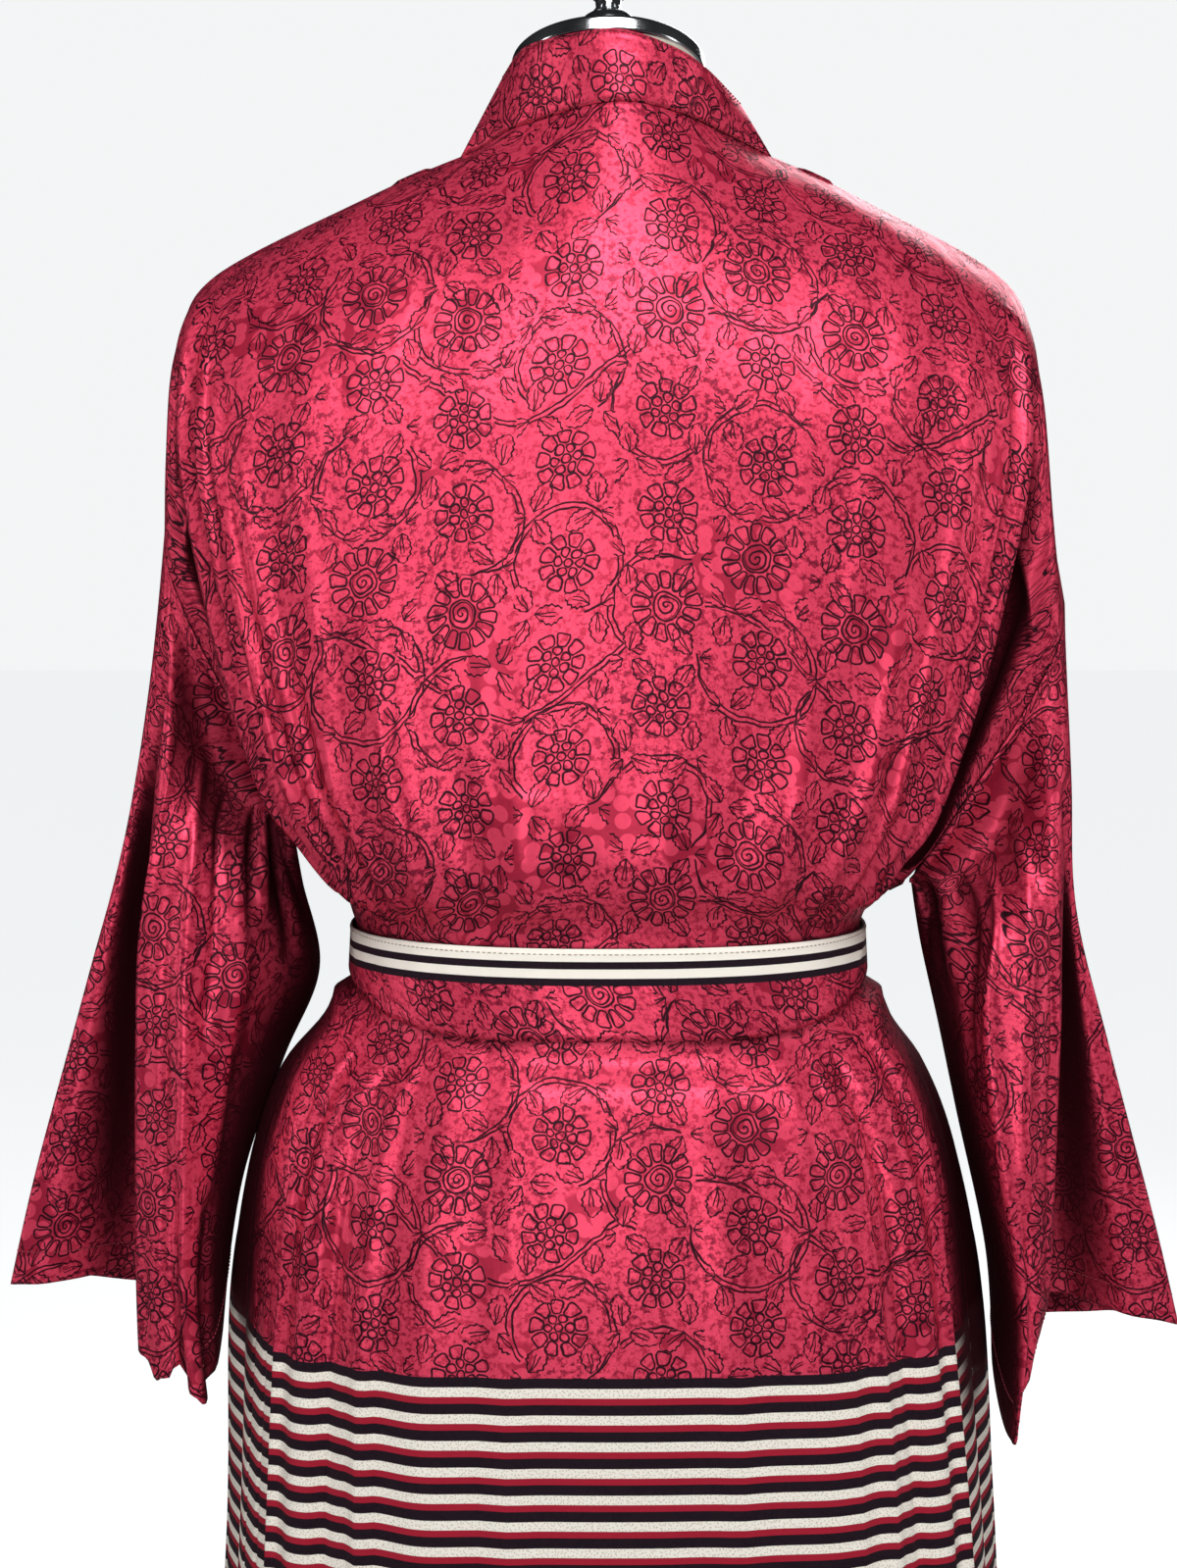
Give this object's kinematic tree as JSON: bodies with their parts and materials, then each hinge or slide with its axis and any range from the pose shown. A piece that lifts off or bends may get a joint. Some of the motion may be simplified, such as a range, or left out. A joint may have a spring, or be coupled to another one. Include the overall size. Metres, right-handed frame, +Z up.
{
  "type": "kimono robe on dress form",
  "caption": "Wide-sleeved satin wrap robe with a neckband and a tied sash, worn by a limbless dress form with a metal neck cap on a pole and a round base.",
  "frame": {"origin": "centre of the stand base's underside, on the floor", "axes": "+Z up, the wearer's front faces -Y, the wearer's left is +X"},
  "size_m": [0.6353, 0.35, 1.5458],
  "materials": {
    "robe_satin": "satin",
    "band_satin": "satin",
    "sash_satin": "satin",
    "form_linen": "matte",
    "cap_chrome": "polished",
    "stand_chrome": "polished",
    "stand_black": "satin"
  },
  "bodies": {
    "root": {"back_panel": "robe_satin", "front_left": "robe_satin", "front_right": "robe_satin", "sleeve_left": "robe_satin", "sleeve_right": "robe_satin", "neckband": "band_satin", "sash_band": "sash_satin", "sash_knot": "sash_satin", "sash_tail_upper": "sash_satin", "sash_tail_under": "sash_satin", "form_torso": "form_linen", "neck_cap": "cap_chrome", "neck_knob": "cap_chrome", "stand_base": "stand_black", "stand_pole": "stand_chrome"}
  },
  "joints": []
}
